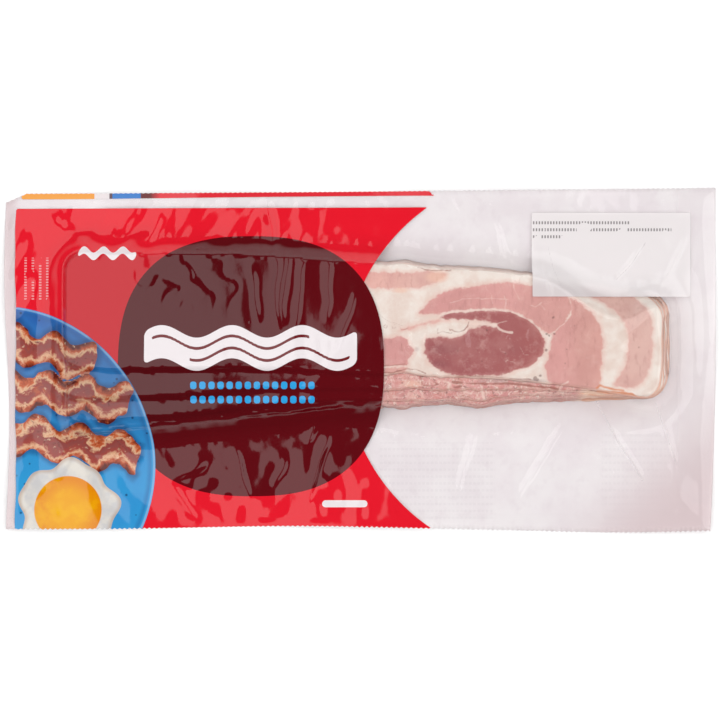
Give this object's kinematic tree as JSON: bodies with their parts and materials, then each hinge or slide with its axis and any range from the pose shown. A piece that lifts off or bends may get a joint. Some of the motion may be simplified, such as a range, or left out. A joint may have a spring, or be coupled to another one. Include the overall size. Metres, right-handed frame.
{
  "type": "bacon pack",
  "caption": "Flat vacuum pack of sliced bacon: sealed film drawn down over a fanned stack of slices, with a printed field and a clear window.",
  "frame": {"origin": "centre of the pack's bounding box, on its underside", "axes": "+X along the pack towards the end with the clear window, +Y across it towards the top of the print, +Z out of the printed face"},
  "size_m": [0.285, 0.138, 0.0127],
  "materials": {
    "printed_film": "glossy printed packaging film, red with a clear window",
    "back_web": "glossy milky clear packaging film",
    "bacon": "moist raw cured pork, lean and fat"
  },
  "bodies": {
    "root": {"sealed_pack": "printed_film"}
  },
  "joints": []
}
